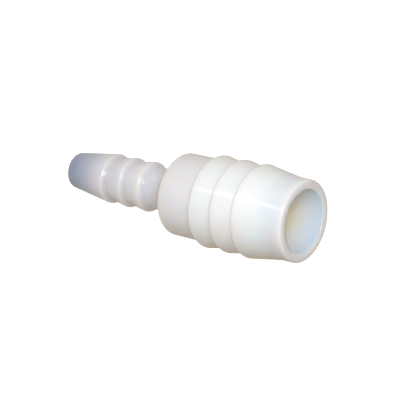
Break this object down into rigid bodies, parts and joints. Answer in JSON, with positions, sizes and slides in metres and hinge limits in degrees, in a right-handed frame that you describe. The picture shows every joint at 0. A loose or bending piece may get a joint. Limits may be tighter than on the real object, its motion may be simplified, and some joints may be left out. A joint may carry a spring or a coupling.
{
  "type": "barbed reducing hose coupling",
  "caption": "Straight moulded coupling that joins a large hose to a small one: ringed barbs on both spigots, a plain collar with a square shoulder between them, and a stepped waterway.",
  "frame": {"origin": "centre of the small end's face, on the axis of the waterway", "axes": "+Z along the waterway from the small end to the large mouth; the part stands on its small end; it is round, so X and Y are free"},
  "size_m": [0.0216, 0.0216, 0.0672],
  "materials": {
    "natural_polypropylene": "uncoloured milky polypropylene as it leaves a polished mould, slightly translucent"
  },
  "bodies": {
    "root": {"reducing_coupling": "natural_polypropylene"}
  },
  "joints": []
}
